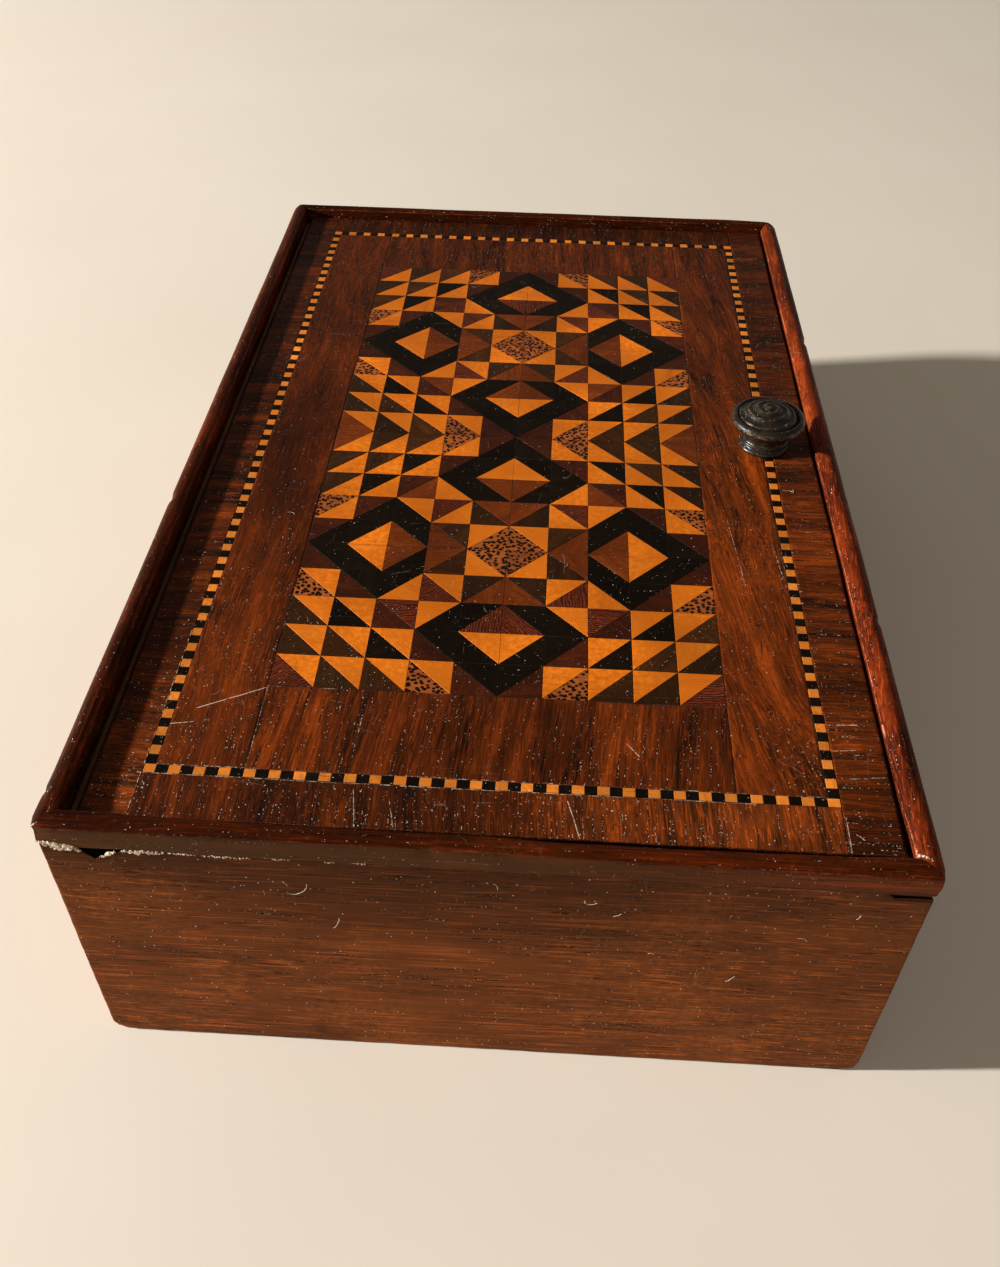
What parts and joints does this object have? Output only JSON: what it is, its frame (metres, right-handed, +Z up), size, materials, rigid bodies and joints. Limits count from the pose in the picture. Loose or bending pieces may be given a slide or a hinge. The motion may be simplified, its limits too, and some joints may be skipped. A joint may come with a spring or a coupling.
{
  "type": "wooden glove box",
  "caption": "Long low rosewood box for gloves: an inlaid lid sits inside a raised moulded rim, turns on pins along one long side and lifts by a small turned knob.",
  "frame": {"origin": "middle of the flat underside, on the surface that the box stands on", "axes": "+X across the box from the hinge side to the knob side, +Y along its length, +Z up"},
  "size_m": [0.1474, 0.2404, 0.0743],
  "materials": {
    "carcass_wood": "dull, unpolished",
    "rosewood_face": "worn French polish",
    "rosewood_moulding": "French polish",
    "lining_wood": "plain wax",
    "velvet": "faded velvet",
    "pin_brass": "dull",
    "rosewood_crossband": "French polish",
    "rosewood_field": "French polish",
    "boxwood": "French polish",
    "ebony": "polish",
    "palm_wood": "French polish",
    "kingwood": "French polish",
    "rosewood_tile": "French polish",
    "walnut": "French polish",
    "olive_wood": "French polish",
    "mahogany": "French polish"
  },
  "bodies": {
    "box": {"near_wall": "carcass_wood", "far_wall": "carcass_wood", "left_wall": "carcass_wood", "right_wall": "carcass_wood", "near_face_veneer": "rosewood_face", "far_face_veneer": "rosewood_face", "left_face_veneer": "rosewood_face", "right_face_veneer": "rosewood_face", "floor_board": "carcass_wood", "left_liner": "lining_wood", "right_liner": "lining_wood", "near_liner": "lining_wood", "far_liner": "lining_wood", "floor_pad": "velvet", "near_moulding": "rosewood_moulding", "far_moulding": "rosewood_moulding", "left_moulding": "rosewood_moulding", "right_moulding": "rosewood_moulding", "near_hinge_pin": "pin_brass", "far_hinge_pin": "pin_brass"},
    "lid": {"lid_board": "carcass_wood", "lid_under_veneer": "lining_wood", "near_crossband": "rosewood_crossband", "far_crossband": "rosewood_crossband", "left_crossband": "rosewood_crossband", "right_crossband": "rosewood_crossband", "near_field_veneer": "rosewood_field", "far_field_veneer": "rosewood_field", "left_field_veneer": "rosewood_field", "right_field_veneer": "rosewood_field", "stringing_boxwood": "boxwood", "mosaic_boxwood": "boxwood", "stringing_ebony": "ebony", "mosaic_ebony": "ebony", "knob": "ebony", "mosaic_palm_wood": "palm_wood", "mosaic_kingwood": "kingwood", "mosaic_rosewood": "rosewood_tile", "mosaic_walnut": "walnut", "mosaic_olive_wood": "olive_wood", "mosaic_mahogany": "mahogany"}
  },
  "joints": [
    {"name": "lid_hinge", "type": "hinge", "parent": "box", "child": "lid", "pos_m": [-0.06355, 0, 0.0602], "axis": [0, -1, 0], "range_deg": [0, 105]}
  ]
}
